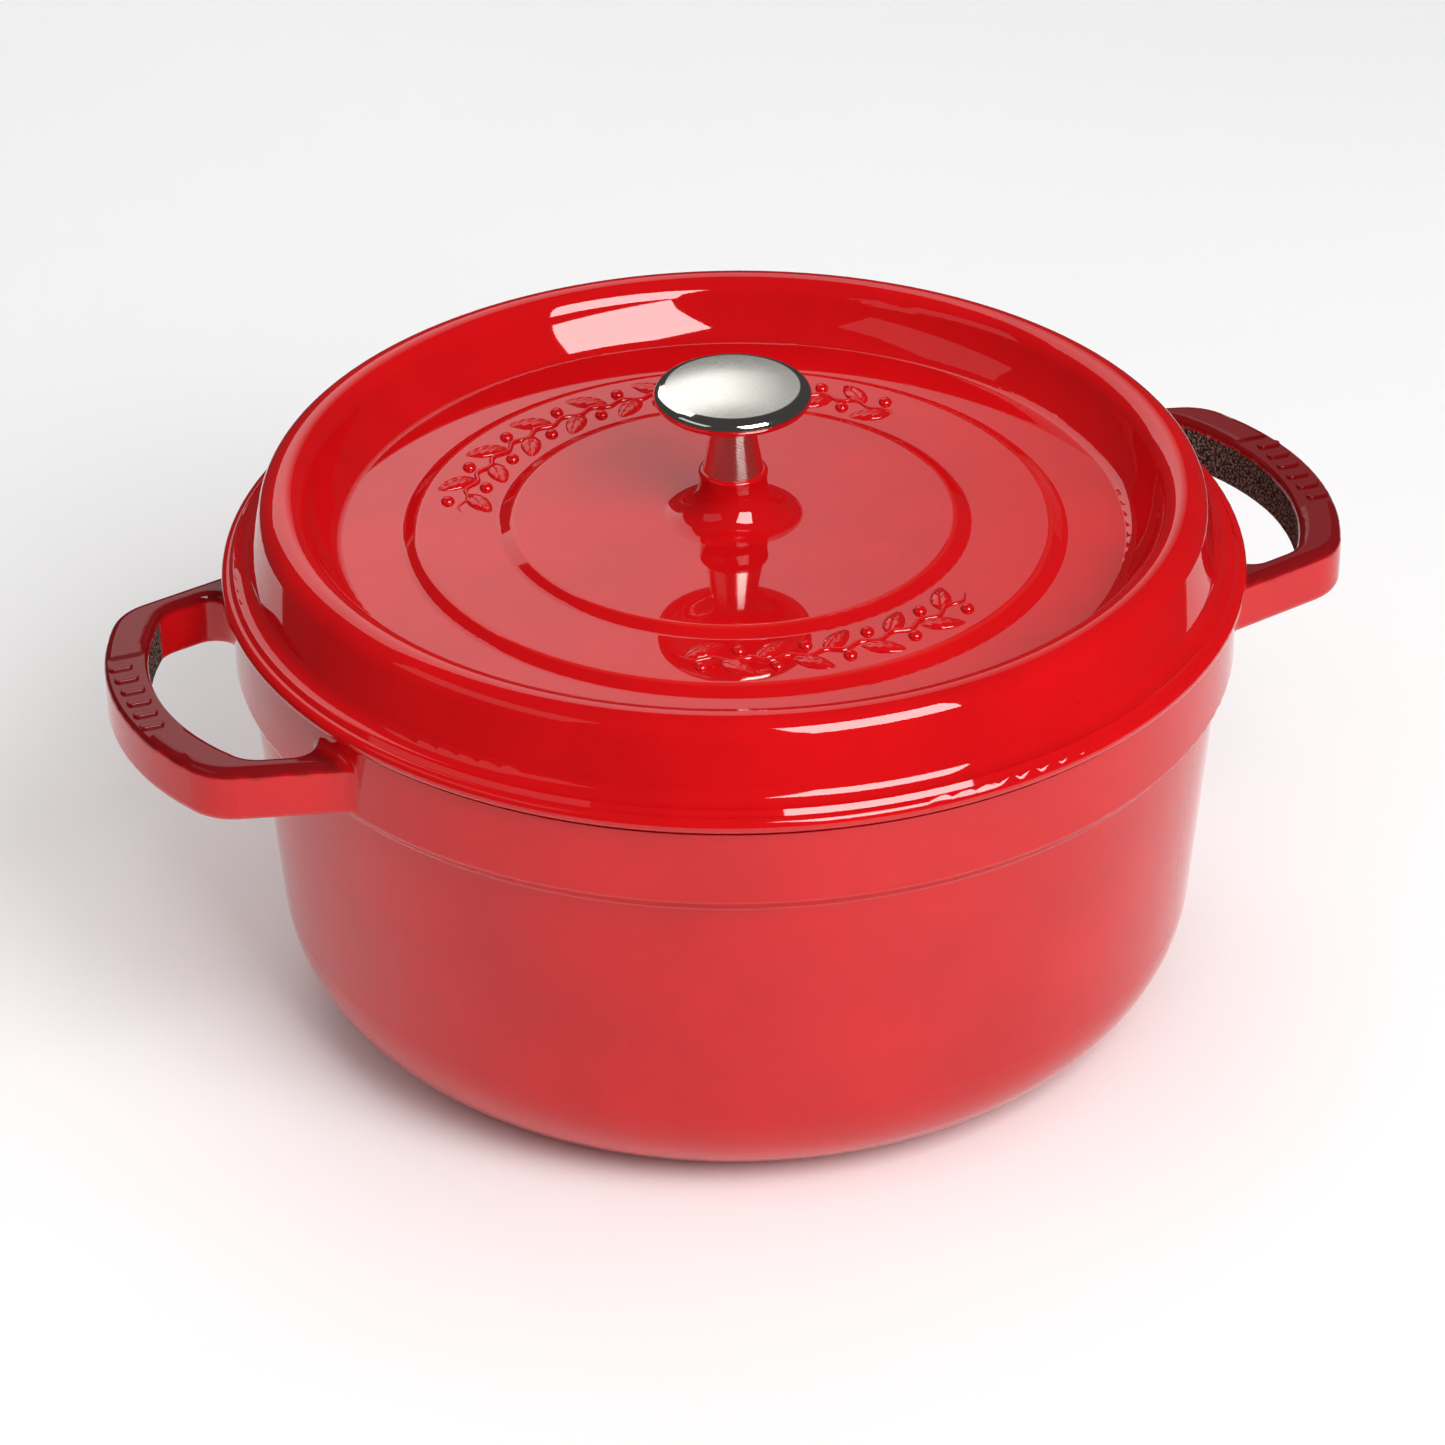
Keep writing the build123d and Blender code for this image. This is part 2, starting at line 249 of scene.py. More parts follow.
@dataclass(frozen=True)
class RedEnamel:
    """Glossy red glass coat, fired in layers over cast iron."""

    bright: Colour = (0.565, 0.0038, 0.0056)
    deep: Colour = (0.480, 0.0030, 0.0048)
    burgundy: Colour = (0.110, 0.0050, 0.0065)
    # Painted highlight colour: a lighter, pinker red laid as a line along the lid's step edges.
    painted_edge_highlight: Colour = (0.640, 0.0300, 0.0220)
    iron_dark: Colour = (0.022, 0.014, 0.012)
    iron_pale: Colour = (0.230, 0.180, 0.150)
    cloud: Grain = Grain(0.045, detail=4.0, rough=0.55, high=0.75)
    peel: Grain = Grain(0.0030, 0.000018, 1.5)
    grain: Grain = Grain(0.0005, 0.0000025)
    wave: Grain = Grain(0.020, 0.00004, 1.0)
    wobble: Grain = Grain(0.012, 0.0006)
    blotch: Grain = Grain(0.006, 0.0024, 3.0)
    salt: Grain = Grain(0.0007, rough=0.7, low=0.45, high=0.62)
    pits: Grain = Grain(0.0009, 0.00022, 3.0, 0.6)
    speck_pitch: float = 0.011
    speck_core: float = 0.018
    speck_edge: float = 0.035
    speck_share: float = 0.5
    # Width, height limit, fade and strength of the painted highlight lines on the lid's edges.
    edge_highlight_width: float = 0.0010
    edge_highlight_drop: float = 0.0036
    edge_highlight_fade: float = 0.0010
    edge_highlight_share: float = 0.40
    top_drop: float = 0.0012
    top_fade: float = 0.0020
    top_root: float = 0.004
    top_share: float = 0.86
    top_dullness: float = 0.45
    bare_fade: float = 0.0006
    bare_side_fade: float = 0.0020
    bare_drop: float = 0.0018
    bare_drop_fade: float = 0.0012
    bare_root: float = 0.010
    bare_root_fade: float = 0.004
    base_roughness: float = 0.5
    gloss_roughness: float = 0.03
    gloss_index: float = 1.47

    def coat(self, name: str) -> Coat:
        """Start the material with the colour and the relief that all red pieces share.

        Args:
            name: The material's name.

        Returns:
            The started coat.
        """
        sheet = ShaderSheet(name)
        place = sheet.place()
        cloud = sheet.spots(place, self.cloud)
        colour = sheet.blend(cloud, opaque(self.bright), opaque(self.deep))
        pitch = {"Vector": place, "Scale": 1.0 / self.speck_pitch}
        specks = sheet.add("ShaderNodeTexVoronoi", pitch).outputs["Distance"]
        speck = sheet.ease(specks, self.speck_core, self.speck_edge, self.speck_share, 0.0)
        colour = sheet.blend(speck, colour, opaque(self.burgundy))
        peel, grain, wave = (sheet.rise(place, one) for one in (self.peel, self.grain, self.wave))
        height = sheet.sum("ADD", wave, sheet.sum("ADD", peel, grain))
        sheet.set(Roughness=self.base_roughness, Specular_IOR_Level=0.0)
        sheet.set(Coat_Roughness=self.gloss_roughness, Coat_IOR=self.gloss_index)
        return Coat(sheet, place, colour, height)

    def lid(self, name: str, edges: tuple[float, ...], dish_height: float) -> bpy.types.Material:
        """Build the lid's coat, with a painted highlight: a lighter, pinker line along the crisp
        edges of its casting.

        Args:
            name: The material's name.
            edges: Radii of the edges, in metres.
            dish_height: Height of the dish's middle ring.

        Returns:
            The material.
        """
        coat = self.coat(name)
        sheet, colour = coat.sheet, coat.colour
        axes = sheet.axes(coat.place)
        ring = sheet.sum("ADD", axes["r"], sheet.rise(coat.place, self.wobble))
        start = dish_height - self.edge_highlight_drop
        high = sheet.ease(axes["z"], start - self.edge_highlight_fade, start)
        middle_of_wobble = 0.5 * self.wobble.height
        # Painted highlight: a lighter, pinker line of colour along each edge radius, only on the
        # dish's upper faces.
        for radius in edges:
            here = sheet.band(ring, radius + middle_of_wobble, self.edge_highlight_width)
            share = sheet.sum("MULTIPLY", sheet.sum("MULTIPLY", here, high), self.edge_highlight_share)
            colour = sheet.blend(share, colour, opaque(self.painted_edge_highlight))
        sheet.relief(coat.height)
        sheet.set(Base_Color=colour, Coat_Weight=1.0)
        return sheet.material

    def pot(self, name: str, handles: HandleZone) -> bpy.types.Material:
        """Build the pot's coat: burgundy on the handles' tops, bare iron inside the grips.

        Args:
            name: The material's name.
            handles: Where the handles' faces are.

        Returns:
            The material.
        """
        coat = self.coat(name)
        sheet, place = coat.sheet, coat.place
        axes = sheet.axes(place)
        noise = sheet.noise(place, self.blotch)
        blotch = sheet.sum("MULTIPLY_ADD", noise, self.blotch.height, -0.5 * self.blotch.height)
        edge = sheet.sum("ADD", axes["z"], blotch)
        start = handles.top - self.top_drop
        top = sheet.ease(edge, start - self.top_fade, start)
        beyond = sheet.ease(axes["r"], handles.collar, handles.collar + self.top_root)
        top = sheet.sum("MULTIPLY", top, beyond)
        share = sheet.sum("MULTIPLY", top, self.top_share)
        colour = sheet.blend(share, coat.colour, opaque(self.burgundy))
        bare = self.bare(sheet, axes, edge, handles)
        salt = sheet.spots(place, self.salt)
        iron = sheet.blend(salt, opaque(self.iron_dark), opaque(self.iron_pale))
        height = sheet.sum("MULTIPLY_ADD", sheet.rise(place, self.pits), bare, coat.height)
        sheet.relief(height)
        dull = sheet.sum("MAXIMUM", bare, sheet.sum("MULTIPLY", top, self.top_dullness))
        sheet.set(Base_Color=sheet.blend(bare, colour, iron))
        sheet.set(Coat_Weight=sheet.sum("SUBTRACT", 1.0, dull))
        return sheet.material

    def bare(
        self, sheet: ShaderSheet, axes: dict, edge: bpy.types.NodeSocket, handles: HandleZone
    ) -> bpy.types.NodeSocket:
        """Find the inner faces of the grips, below their tops.

        Args:
            sheet: The pot's sheet.
            axes: The axes of the place on it.
            edge: Height of the place, blurred as the edge of the enamel is.
            handles: Where the handles' faces are.

        Returns:
            The share of bare iron.
        """
        side = sheet.sum("ABSOLUTE", axes["x"])
        width = sheet.sum("ABSOLUTE", axes["y"])
        reach, gap = handles.inner_reach, handles.inner_width
        inner = sheet.ease(side, reach, reach + self.bare_fade, 1.0, 0.0)
        between = sheet.ease(width, gap, gap + self.bare_side_fade, 1.0, 0.0)
        end = handles.top - self.bare_drop
        below = sheet.ease(edge, end - self.bare_drop_fade, end, 1.0, 0.0)
        root = handles.collar + self.bare_root
        outside = sheet.ease(side, root, root + self.bare_root_fade)
        bare = sheet.sum("MULTIPLY", sheet.sum("MULTIPLY", inner, between), below)
        return sheet.sum("MULTIPLY", bare, outside)


@dataclass(frozen=True)
class BlackEnamel:
    """Matt black glass coat with a fine texture, as fired inside the pot."""

    colour: Colour = (0.010, 0.010, 0.011)
    dust: Colour = (0.028, 0.028, 0.030)
    mottle: Grain = Grain(0.006, detail=6.0, rough=0.7, low=0.4)
    grain: Grain = Grain(0.0009, 0.00003, 3.0, 0.6)
    lumps: Grain = Grain(0.005, 0.00005, 1.0)
    smooth: float = 0.34
    rough: float = 0.48
    index: float = 1.5

    def make(self) -> bpy.types.Material:
        """Build the material.

        Returns:
            The material.
        """
        sheet = ShaderSheet("black_enamel")
        place = sheet.place()
        mottle = sheet.spots(place, self.mottle)
        sheet.set(Base_Color=sheet.blend(mottle, opaque(self.colour), opaque(self.dust)))
        roughness = sheet.ease(mottle, 0.0, 1.0, self.smooth, self.rough)
        sheet.set(Roughness=roughness, IOR=self.index)
        grain, lumps = sheet.rise(place, self.grain), sheet.rise(place, self.lumps)
        sheet.relief(sheet.sum("ADD", grain, lumps))
        return sheet.material


@dataclass(frozen=True)
class Nickel:
    """Nickel plate: a satin domed top inside a polished edge, on a turned stem."""

    colour: Colour = (0.88, 0.85, 0.785)
    tone: Grain = Grain(0.008, detail=3.0)
    darkest: float = 0.97
    smear: Grain = Grain(0.004, detail=4.0, rough=0.6)
    smear_smooth: float = -0.015
    smear_rough: float = 0.02
    blast: Grain = Grain(0.00025, 0.0000015)
    satin_radius: float = 0.0173
    satin_edge: float = 0.0003
    satin_depth: float = 0.0046
    satin_fade: float = 0.0006
    satin_metal: float = 0.7
    satin_roughness: float = 0.26
    polish_roughness: float = 0.05
    stem_height: float = 0.012
    stem_fade: float = 0.0015
    stem_roughness: float = 0.08
    turning_pitch: float = 0.00038
    turning_height: float = 0.000012

    def make(self, knob_top: float, knob_low: float) -> bpy.types.Material:
        """Build the material.

        Args:
            knob_top: Height of the top of the knob.
            knob_low: Height of the foot of its stem.

        Returns:
            The material.
        """
        sheet = ShaderSheet("nickel")
        place = sheet.place()
        axes = sheet.axes(place)
        start = knob_top - self.satin_depth
        on_top = sheet.ease(axes["z"], start - self.satin_fade, start)
        low, high = self.satin_radius - self.satin_edge, self.satin_radius + self.satin_edge
        inside = sheet.ease(axes["r"], low, high, 1.0, 0.0)
        satin = sheet.sum("MULTIPLY", on_top, inside)
        tone = sheet.spots(place, self.tone, self.darkest, 1.0)
        sheet.set(Base_Color=sheet.blend(tone, BLACK, opaque(self.colour)))
        sheet.set(Metallic=sheet.ease(satin, 0.0, 1.0, 1.0, self.satin_metal))
        smear = sheet.spots(place, self.smear, self.smear_smooth, self.smear_rough)
        gloss = sheet.ease(satin, 0.0, 1.0, self.polish_roughness, self.satin_roughness)
        foot = knob_low + self.stem_height
        stem = sheet.ease(axes["z"], foot, foot + self.stem_fade, 1.0, 0.0)
        gloss = sheet.sum("MULTIPLY_ADD", stem, self.stem_roughness, gloss)
        sheet.set(Roughness=sheet.sum("ADD", gloss, smear))
        blast = sheet.rise(place, self.blast)
        turns = sheet.sum("MULTIPLY", axes["z"], 2.0 * math.pi / self.turning_pitch)
        turned = sheet.sum("MULTIPLY", sheet.sum("SINE", turns), stem)
        turned = sheet.sum("MULTIPLY", turned, self.turning_height)
        sheet.relief(sheet.sum("MULTIPLY_ADD", blast, satin, turned))
        return sheet.material


@dataclass(frozen=True)
class ScrewSteel:
    """Machined stainless steel of the screw and washer under the lid."""

    colour: Colour = (0.50, 0.50, 0.49)
    shade: Colour = (0.36, 0.36, 0.36)
    tone: Grain = Grain(0.002, detail=3.0)
    ring_pitch: float = 0.0003
    ring_height: float = 0.000008
    roughness: float = 0.3

    def make(self) -> bpy.types.Material:
        """Build the material.

        Returns:
            The material.
        """
        sheet = ShaderSheet("screw_steel")
        place = sheet.place()
        rings = sheet.sum("MULTIPLY", sheet.axes(place)["r"], 2.0 * math.pi / self.ring_pitch)
        sheet.relief(sheet.sum("MULTIPLY", sheet.sum("SINE", rings), self.ring_height))
        tone = sheet.spots(place, self.tone)
        sheet.set(Base_Color=sheet.blend(tone, opaque(self.colour), opaque(self.shade)))
        sheet.set(Metallic=1.0, Roughness=self.roughness)
        return sheet.material


def grid_faces(rows: int, columns: int, wrap: bool) -> np.ndarray:
    """List the quads of a grid of points.

    Point (i, j) has number i * columns + j. Each quad joins (i, j), (i, j + 1),
    (i + 1, j + 1) and (i + 1, j).

    Args:
        rows: Number of rows.
        columns: Number of points in a row.
        wrap: Whether the last column joins the first.

    Returns:
        An array of four point numbers a quad.
    """
    i = np.arange(rows - 1)[:, None]
    j = np.arange(columns if wrap else columns - 1)[None, :]
    after = (j + 1) % columns
    row, below = i * columns, (i + 1) * columns
    corners = [row + j, row + after, below + after, below + j]
    return np.stack(np.broadcast_arrays(*corners), -1).reshape(-1, 4)


def closed_skin(rings: np.ndarray, poles: np.ndarray) -> Shape:
    """Close a stack of rings of points with a pole at each end.

    Args:
        rings: Points by ring, place on the ring and axis.
        poles: The point before the first ring and the one after the last.

    Returns:
        The points, and the faces as point numbers, where a triangle's last one is repeated.
    """
    count, size = rings.shape[:2]
    points = np.concatenate([rings.reshape(-1, 3), poles])
    here = np.arange(size)
    after = (here + 1) % size
    first, last = np.full(size, count * size), np.full(size, count * size + 1)
    low = (count - 1) * size
    start = np.stack([first, after, here, here], -1)
    end = np.stack([last, low + here, low + after, low + after], -1)
    return points, np.concatenate([start, grid_faces(count, size, True), end])


def make_object(name: str, points: np.ndarray, faces: np.ndarray) -> bpy.types.Object:
    """Make a smooth-shaded mesh object from arrays and link it to the scene.

    Args:
        name: The piece's name.
        points: Point positions, three a row.
        faces: Four point numbers a row, the last one repeated in a triangle.

    Returns:
        The object, at the origin.
    """
    mesh = bpy.data.meshes.new(name)
    sides = np.where(faces[:, 2] == faces[:, 3], 3, 4)
    corners = faces[np.arange(4)[None, :] < sides[:, None]]
    mesh.vertices.add(len(points))
    mesh.vertices.foreach_set("co", np.ascontiguousarray(points, np.float32).ravel())
    mesh.loops.add(len(corners))
    mesh.loops.foreach_set("vertex_index", np.ascontiguousarray(corners, np.int32))
    mesh.polygons.add(len(faces))
    starts = np.concatenate([[0], np.cumsum(sides)[:-1]])
    mesh.polygons.foreach_set("loop_start", np.ascontiguousarray(starts, np.int32))
    mesh.polygons.foreach_set("use_smooth", np.ones(len(faces), bool))
    mesh.update(calc_edges=True)
    mesh.validate()
    piece = bpy.data.objects.new(name, mesh)
    bpy.context.scene.collection.objects.link(piece)
    return piece


class Sprig(Enum):
    """The three kinds of raised shape in the lid's garland."""

    LEAF = "leaf"
    BERRY = "berry"
    STALK = "stalk"


@dataclass
class Garland:
    """Relief of leaves, berries and a stalk on two sides of the lid's dish.

    A spray is its middle place round the lid, in degrees, and its number of leaves. Each
    shape is a soft mound: its height over the dish falls from the middle to just below the
    surface at its outline, as a glaze does over a cast pattern.
    """

    ring_radius: float
    dish_height: float
    sprays: tuple[tuple[float, int], ...] = ((-88.0, 9), (94.0, 17))
    leaf_pitch: float = 7.2
    leaf_length: float = 0.0125
    leaf_width: float = 0.0056
    leaf_rise: float = 0.0013
    leaf_tilt: float = 40.0
    leaf_offset: float = 0.0043
    rib_depth: float = 0.32
    rib_width: float = 0.12
    vein_depth: float = 0.07
    vein_count: float = 5.0
    vein_slant: float = 1.4
    berry_radius: float = 0.0018
    berry_rise: float = 0.0014
    berry_offset: float = 0.95
    berry_sink: float = 0.3
    stalk_width: float = 0.0018
    stalk_rise: float = 0.0010
    stalk_wave: float = 0.0009
    sink: float = 0.0003

    def leaf(self) -> Shape:
        """Shape one leaf about the origin, its stalk end at -x.

        u runs along the leaf from 0 to 1 and a turns round its section. The half width is
        sin(pi u^0.85) to the power 0.75, leaning to the stalk end, so both ends are pointed.
        Across, the section is cos(a). Its height is the width's share times sin(a) to the
        power 0.7 on the upper half, with a groove along the midrib and fine side veins, and
        flat at the sunk depth below.

        Returns:
            The points and faces.
        """
        u = np.linspace(0.02, 0.98, 25)[:, None]
        a = np.linspace(0.0, 2.0 * np.pi, 37)[None, :-1]
        share = np.sin(np.pi * u**0.85) ** 0.75
        v = np.cos(a)
        mound = share * np.sin(a).clip(0.0) ** 0.7
        rib = self.rib_depth * np.exp(-((v / self.rib_width) ** 2))
        turns = self.vein_count * u - self.vein_slant * np.abs(v)
        veins = self.vein_depth * np.cos(2.0 * np.pi * turns)
        height = self.leaf_rise * mound * (1.0 - rib + veins) - self.sink
        along = self.leaf_length * (u - 0.5) + 0.0 * a
        rings = np.stack([along, 0.5 * self.leaf_width * share * v, height], -1)
        half = 0.5 * self.leaf_length
        return closed_skin(rings, np.array([[-half, 0.0, -self.sink], [half, 0.0, -self.sink]]))

    def berry(self) -> Shape:
        """Shape one berry about the origin.

        s runs from the top's pole to the sunk pole. The radius is the berry's times sin(s),
        and the height is the rise times cos(s), no lower than the sunk share.

        Returns:
            The points and faces.
        """
        s = np.linspace(0.0, np.pi, 13)[1:-1, None]
        a = np.linspace(0.0, 2.0 * np.pi, 21)[None, :-1]
        radius = self.berry_radius * np.sin(s)
        height = self.berry_rise * np.cos(s).clip(-self.berry_sink) + 0.0 * a
        rings = np.stack([radius * np.cos(a), -radius * np.sin(a), height], -1)
        low = -self.berry_sink * self.berry_rise
        poles = np.array([[0.0, 0.0, self.berry_rise], [0.0, 0.0, low]])
        return closed_skin(rings, poles)

    def stalk(self, middle: float, count: int) -> Shape:
        """Shape the stalk of one spray along an arc that waves a little.

        u runs along the arc from -1 to 1 and a turns round the section, a half round of the
        stalk's width and rise that thins to nothing at both ends. The middle line swings
        by the wave's height, once for every two leaves.

        Args:
            middle: Place of the spray's middle round the lid, in degrees.
            count: Number of leaves.

        Returns:
            The points and faces.
        """
        half = 0.5 * self.leaf_pitch * (count + 0.6)
        u = np.linspace(-0.995, 0.995, 161)[:, None]
        a = np.linspace(0.0, 2.0 * np.pi, 17)[None, :-1]
        angle = np.radians(middle + half * u)
        end = (1.0 - u**6) ** 0.5
        middle_line = self.ring_radius + self.stalk_wave * np.cos(np.pi * u * count)
        radius = middle_line + 0.5 * self.stalk_width * end * np.cos(a)
        rise = self.dish_height - self.sink + self.stalk_rise * end * np.sin(a).clip(0.0)
        rings = np.stack([radius * np.cos(angle), radius * np.sin(angle), rise], -1)[:, ::-1]
        ends = np.radians(middle + half * np.array([-1.0, 1.0]))
        last = middle_line[[0, -1], 0]
        level = np.full(2, self.dish_height - self.sink)
        poles = np.stack([last * np.cos(ends), last * np.sin(ends), level], -1)
        return closed_skin(rings, poles)

    def set_down(self, points: np.ndarray, angle: float, out: float, turn: float) -> np.ndarray:
        """Turn a shape and set it on the dish.

        Args:
            points: The shape about the origin.
            angle: Place round the lid, in degrees.
            out: Distance outwards from the garland's ring.
            turn: Turn of the shape from the ring's direction, in degrees.

        Returns:
            The moved points.
        """
        swing = math.radians(angle + 90.0 + turn)
        cosine, sine = math.cos(swing), math.sin(swing)
        spin = np.array([[cosine, sine, 0.0], [-sine, cosine, 0.0], [0.0, 0.0, 1.0]])
        radius = self.ring_radius + out
        here = math.radians(angle)
        place = np.array([radius * math.cos(here), radius * math.sin(here), self.dish_height])
        return points @ spin + place

    def shapes(self) -> list[tuple[Sprig, np.ndarray, np.ndarray]]:
        """Lay out every shape of both sides.

        Leaves stand in turn inside and outside the ring, each with a berry across from it.

        Returns:
            Each shape's kind, points and faces.
        """
        laid = []
        leaf, leaf_faces = self.leaf()
        berry, berry_faces = self.berry()
        for middle, count in self.sprays:
            laid.append((Sprig.STALK, *self.stalk(middle, count)))
            for index in range(count):
                angle = middle + self.leaf_pitch * (index - 0.5 * (count - 1))
                side = 1.0 if index % 2 else -1.0
                out = side * self.leaf_offset
                moved = self.set_down(leaf, angle, out, -side * self.leaf_tilt)
                laid.append((Sprig.LEAF, moved, leaf_faces))
                moved = self.set_down(berry, angle, -self.berry_offset * out, 0.0)
                laid.append((Sprig.BERRY, moved, berry_faces))
        return laid

    def build(self, material: bpy.types.Material) -> list[bpy.types.Object]:
        """Join the shapes of each kind into one piece and dress it.

        Args:
            material: The finish of the casting that the relief stands on.

        Returns:
            The pieces.
        """
        pieces = []
        laid = self.shapes()
        for kind in Sprig:
            mine = [(points, faces) for one, points, faces in laid if one is kind]
            starts = np.cumsum([0] + [len(points) for points, _ in mine[:-1]])
            points = np.concatenate([points for points, _ in mine])
            faces = np.concatenate([faces + start for (_, faces), start in zip(mine, starts)])
            piece = make_object(f"garland_{kind.value}", points, faces)
            piece.data.materials.append(material)
            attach(piece, "lid")
            pieces.append(piece)
        return pieces


@dataclass
class Casting:
    """The CAD pieces of the oven and the finish that each one gets, in metres."""

    lid_edges: tuple[float, ...] = (0.0574, 0.0822)
    garland_inset: float = 0.0619
    boss_rise: float = 0.0153
    handle_drop: float = 0.0044
    grip_width: float = 0.0112
    gap_width: float = 0.0350

    def garland_radius(self) -> float:
        """Return the radius that the garland follows on the dish."""
        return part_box("lid_casting")[1].x - self.garland_inset

    def dish_height(self) -> float:
        """Return the height of the dish's middle ring, below the top of the boss."""
        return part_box("lid_casting")[1].z - self.boss_rise

    def dress(self) -> bpy.types.Material:
        """Give every CAD node its finish.

        Returns:
            The lid's red enamel, for the relief that stands on it.
        """
        knob_low, knob_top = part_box("knob")
        pot_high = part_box("pot_casting")[1]
        handles = HandleZone(
            top=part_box("pot_lining")[1].z - self.handle_drop,
            collar=pot_high.y,
            inner_reach=pot_high.x - self.grip_width,
            inner_width=self.gap_width,
        )
        pot_red = RedEnamel().pot("red_enamel_pot", handles)
        lid_red = RedEnamel().lid("red_enamel_lid", self.lid_edges, self.dish_height())
        black = BlackEnamel().make()
        steel = ScrewSteel().make()
        finishes = {
            "pot_casting": pot_red,
            "pot_lining": black,
            "lid_casting": lid_red,
            "lid_lining": black,
            "knob": Nickel().make(knob_top.z, knob_low.z),
            "knob_washer": steel,
            "knob_screw": steel,
        }
        for node, material in finishes.items():
            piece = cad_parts[node]
            for slot in piece.material_slots:
                slot.material = material
            LOG.info("dressed %s with %s", node, material.name)
        return lid_red


class Reach(Enum):
    """What a lamp lights: everything, only as a reflection, or only as fill."""

    ALL = (True, True)
    SHEEN = (False, True)
    FILL = (True, False)


@dataclass(frozen=True)
class Lamp:
    """A rectangular soft light that faces the lid.

    Azimuth is 0 in front and 90 to the right, and both angles are in degrees. Away is the
    distance from the lid, size the width and height, and power is in watts. A fading lamp
    dims from its left to its right, as the lid sees it.
    """

    name: str
    azimuth: float
    elevation: float
    away: float
    size: tuple[float, float]
    power: float
    reach: Reach = Reach.ALL
    fading: bool = False


@dataclass(frozen=True)
class Studio:
    """Pale sweep, soft lights and the camera."""

    lamps: tuple[Lamp, ...] = (
        Lamp("softbox", 14.0, 40.0, 1.60, (0.95, 0.90), 22.0),
        Lamp("softbox_sheen", 14.0, 40.0, 1.61, (0.95, 0.90), 18.0, Reach.SHEEN),
        Lamp("overhead", 0.0, 66.0, 3.2, (4.6, 4.6), 31.0, Reach.FILL),
        Lamp("back_panel", 172.0, 38.0, 2.0, (1.7, 1.2), 9.0, fading=True),
        Lamp("left_panel", -84.0, 38.0, 1.8, (1.4, 0.6), 1.6),
    )
    fade_low: float = 0.2
    fade_share: float = 0.42
    room_light: float = 0.32
    room_sheen: float = 0.05
    aim_height: float = 0.140
    azimuth: float = -20.496
    elevation: float = 29.197
    distance: float = 1.39106
    lens: float = 133.93
    turn_right: float = 0.1358
    tilt_up: float = -2.4171
    roll: float = -0.472
    sensor: float = 36.0
    far: float = 20.0
    bend: float = 1.5
    curve: float = 0.8
    near: float = 0.50
    reach: float = 8.0
    paper_tone: Grain = Grain(0.4)
    paper: Colour = (0.94, 0.94, 0.94)
    paper_pale: Colour = (0.96, 0.96, 0.96)
    paper_roughness: float = 0.6

    def direction(self, azimuth: float, elevation: float) -> Vector:
        """Find the direction towards a place.

        Args:
            azimuth: Degrees round the oven, 0 in front and 90 to the right.
            elevation: Degrees above the floor.

        Returns:
            The unit vector from the oven.
        """
        around, up = math.radians(azimuth), math.radians(elevation)
        flat = math.cos(up)
        return Vector((math.sin(around) * flat, -math.cos(around) * flat, math.sin(up)))

    def camera(self) -> None:
        """Place the camera and turn it so that the object sits in the frame as it should."""
        back = self.direction(self.azimuth, self.elevation)
        forward = -back
        around = math.radians(self.azimuth)
        right = Vector((math.cos(around), math.sin(around), 0.0))
        up = right.cross(forward)
        yaw, pitch, roll = map(math.radians, (self.turn_right, self.tilt_up, self.roll))
        ahead = forward * math.cos(yaw) - right * math.sin(yaw)
        side = right * math.cos(yaw) + forward * math.sin(yaw)
        aim = ahead * math.cos(pitch) + up * math.sin(pitch)
        over = up * math.cos(pitch) - ahead * math.sin(pitch)
        x_axis = side * math.cos(roll) + over * math.sin(roll)
        y_axis = over * math.cos(roll) - side * math.sin(roll)
        turn = Matrix((x_axis, y_axis, -aim)).transposed().to_4x4()
        place = Vector((0.0, 0.0, self.aim_height)) + back * self.distance
        data = bpy.data.cameras.new("camera")
        data.lens = self.lens
        data.sensor_width = self.sensor
        data.clip_end = self.far
        camera = bpy.data.objects.new("camera", data)
        camera.matrix_world = Matrix.Translation(place) @ turn
        bpy.context.scene.collection.objects.link(camera)
        bpy.context.scene.camera = camera

    def light(self, lamp: Lamp) -> None:
        """Put a lamp into the scene.

        Args:
            lamp: The lamp.
        """
        data = bpy.data.lights.new(lamp.name, "AREA")
        data.shape = "RECTANGLE"
        data.size, data.size_y = lamp.size
        data.energy = lamp.power
        if lamp.fading:
            self.fade(data)
        piece = bpy.data.objects.new(lamp.name, data)
        towards = self.direction(lamp.azimuth, lamp.elevation)
        piece.location = Vector((0.0, 0.0, self.aim_height)) + towards * lamp.away
        piece.rotation_euler = towards.to_track_quat("Z", "Y").to_euler()
        piece.visible_camera = False
        piece.visible_diffuse, piece.visible_glossy = lamp.reach.value
        bpy.context.scene.collection.objects.link(piece)

    def fade(self, data: bpy.types.AreaLight) -> None:
        """Dim an area light smoothly towards one end of its width.

        Args:
            data: The light.
        """
        data.use_nodes = True
        tree = data.node_tree
        across = tree.nodes.new("ShaderNodeNewGeometry")
        split = tree.nodes.new("ShaderNodeSeparateXYZ")
        ramp = tree.nodes.new("ShaderNodeMapRange")
        ramp.interpolation_type = "SMOOTHSTEP"
        ramp.inputs["From Max"].default_value = self.fade_share
        ramp.inputs["To Min"].default_value = self.fade_low
        tree.links.new(across.outputs["Parametric"], split.inputs[0])
        tree.links.new(split.outputs["X"], ramp.inputs["Value"])
        tree.links.new(ramp.outputs["Result"], tree.nodes["Emission"].inputs["Strength"])

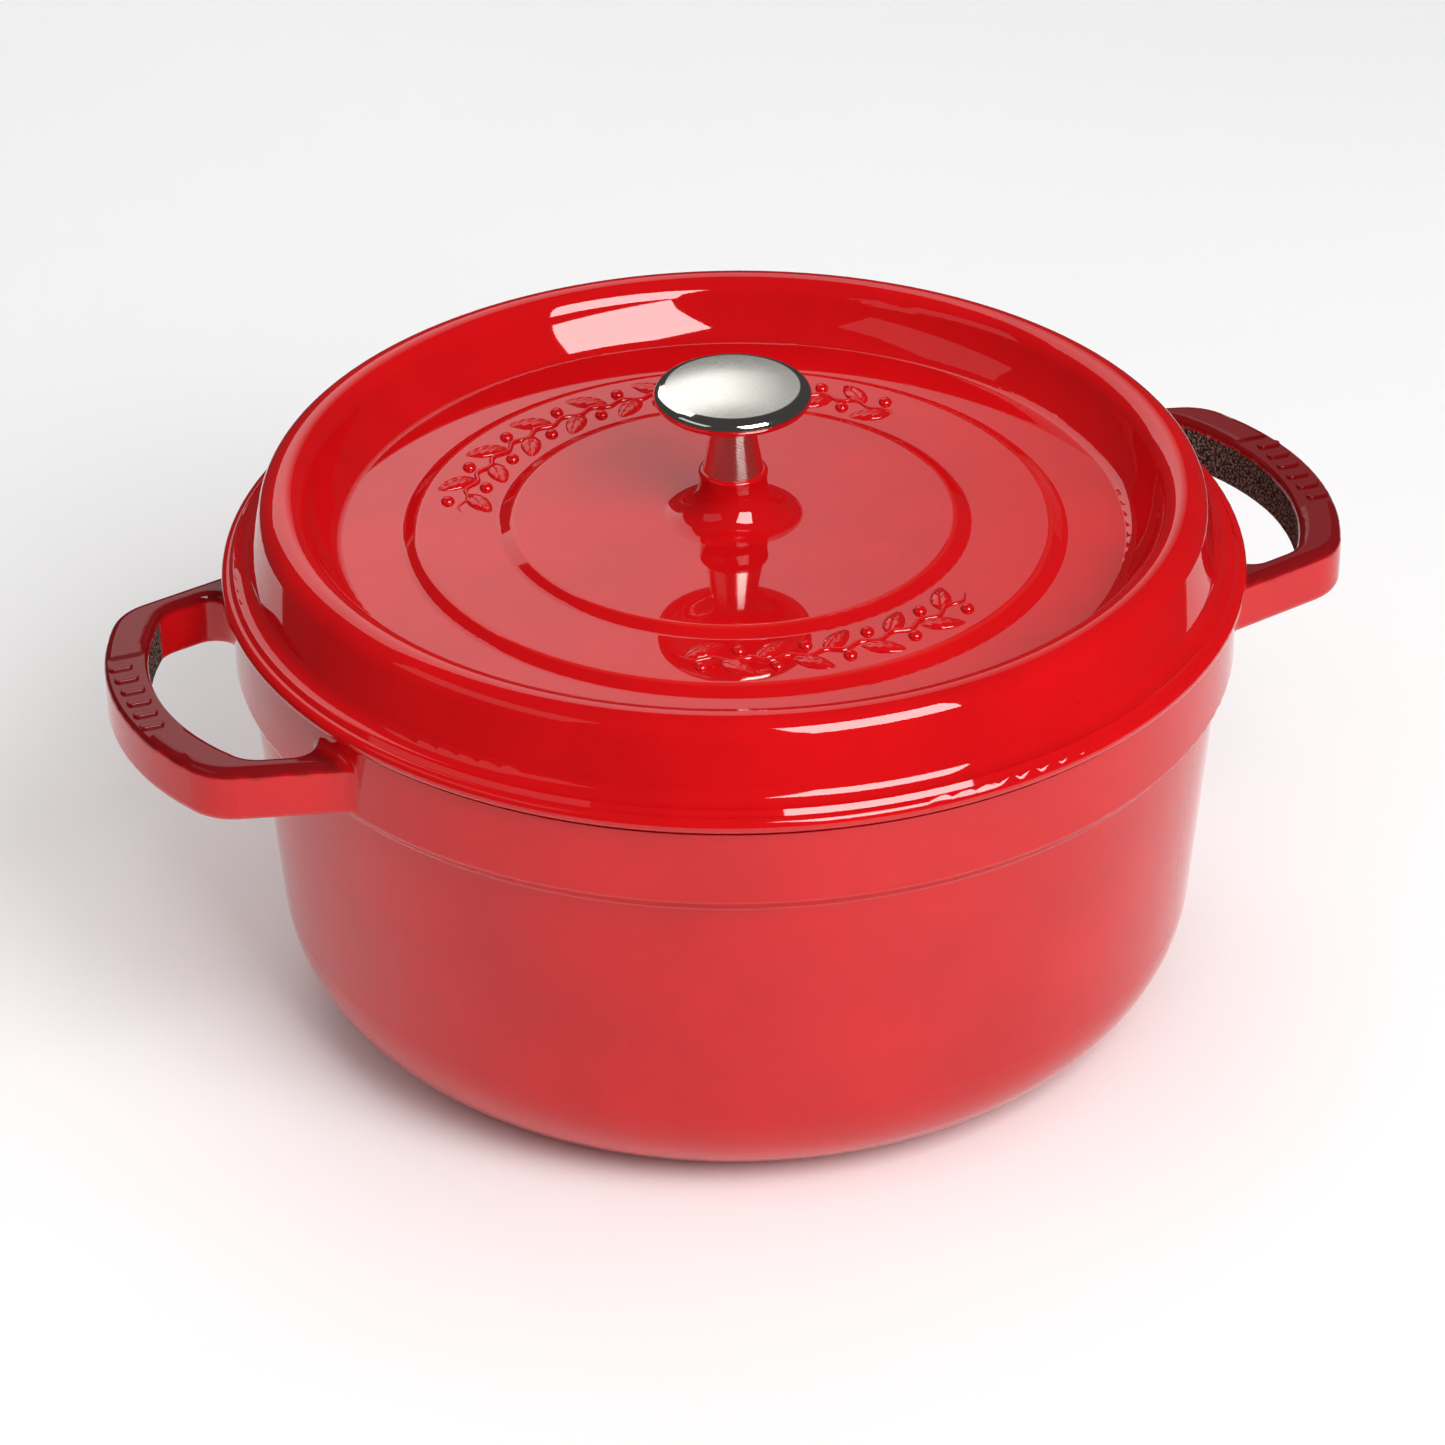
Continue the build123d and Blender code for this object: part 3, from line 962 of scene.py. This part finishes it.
    def floor(self) -> None:
        """Lay a pale sweep: flat in front, curving up far behind.

        A point at distance r and angle a from the middle has x = r cos(a) and s = r sin(a)
        towards the back. The height is 0 up to s = bend, then follows a quarter circle of
        radius curve before it rises straight. Only the round part near the oven shows in
        reflections, as the room beyond a table is dark.
        """
        sheet = ShaderSheet("paper")
        tone = sheet.spots(sheet.place(), self.paper_tone)
        sheet.set(Base_Color=sheet.blend(tone, opaque(self.paper), opaque(self.paper_pale)))
        sheet.set(Roughness=self.paper_roughness)
        angle = np.linspace(0.0, 2.0 * np.pi, 145)[None, :-1]
        quarter = 0.5 * np.pi
        spans = {"floor": (0.0, self.near, 8), "sweep": (self.near, self.reach, 70)}
        for name, (low, high, rows) in spans.items():
            radius = np.linspace(low, high, rows)[:, None]
            x, s = radius * np.cos(angle), radius * np.sin(angle)
            turn = np.clip((s - self.bend) / self.curve, 0.0, quarter)
            rise = np.clip(s - self.bend - quarter * self.curve, 0.0, None)
            depth = np.minimum(s, self.bend) + self.curve * np.sin(turn)
            height = self.curve * (1.0 - np.cos(turn)) + rise
            points = np.stack([x, depth, height], -1).reshape(-1, 3)
            faces = grid_faces(rows, angle.size, True)[:, ::-1]
            piece = make_object(name, points, faces)
            piece.data.materials.append(sheet.material)
            piece.visible_glossy = name == "floor"

    def world(self) -> None:
        """Light everything a little from all round, with less of it in reflections."""
        world = bpy.data.worlds.new("studio")
        world.use_nodes = True
        tree = world.node_tree
        back = tree.nodes["Background"]
        back.inputs["Color"].default_value = WHITE
        rays = tree.nodes.new("ShaderNodeLightPath")
        dim = tree.nodes.new("ShaderNodeMapRange")
        dim.inputs["To Min"].default_value = self.room_light
        dim.inputs["To Max"].default_value = self.room_sheen
        tree.links.new(rays.outputs["Is Glossy Ray"], dim.inputs["Value"])
        tree.links.new(dim.outputs["Result"], back.inputs["Strength"])
        bpy.context.scene.world = world

    def build(self) -> None:
        """Set up the camera, the lights and the floor."""
        self.camera()
        self.world()
        for lamp in self.lamps:
            self.light(lamp)
        self.floor()
        bpy.context.scene.view_settings.view_transform = "Standard"


def main() -> None:
    """Dress the oven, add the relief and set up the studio."""
    logging.basicConfig(level=logging.INFO, format="%(name)s: %(message)s")
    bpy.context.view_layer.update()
    casting = Casting()
    red = casting.dress()
    garland = Garland(ring_radius=casting.garland_radius(), dish_height=casting.dish_height())
    for piece in garland.build(red):
        LOG.info("built %s", piece.name)
    Studio().build()


if __name__ == "__main__":
    main()
